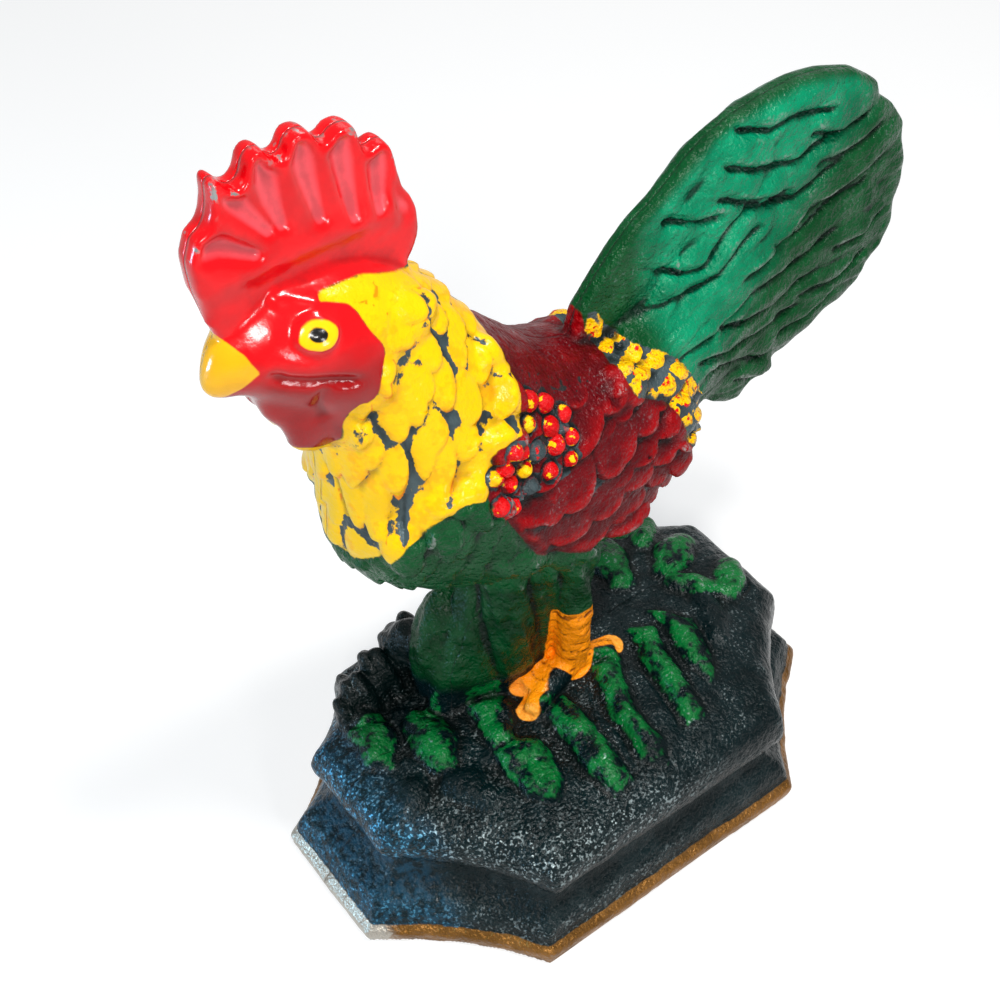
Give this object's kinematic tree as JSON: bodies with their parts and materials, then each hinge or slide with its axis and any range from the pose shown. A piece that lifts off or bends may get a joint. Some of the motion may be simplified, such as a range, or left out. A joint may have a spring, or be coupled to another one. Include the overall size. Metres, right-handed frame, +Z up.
{
  "type": "cast iron doorstop",
  "caption": "Painted cast iron rooster standing on a stepped plinth, two hollow halves held together by slotted screws.",
  "frame": {"origin": "centre of the overall box, on the plane that the plinth stands on", "axes": "+Z up, -X the way the rooster looks, -Y its left side"},
  "size_m": [0.2273, 0.11, 0.2748],
  "materials": {
    "enamelled_iron": "hand-painted gloss enamel over rough cast iron: red, yellow, green and dark teal, worn to grey iron in places",
    "screw_steel": "plain machined steel, slotted heads"
  },
  "bodies": {
    "root": {"left_casting": "enamelled_iron", "right_casting": "enamelled_iron", "body_screw": "screw_steel", "front_base_screw": "screw_steel", "rear_base_screw": "screw_steel"}
  },
  "joints": []
}
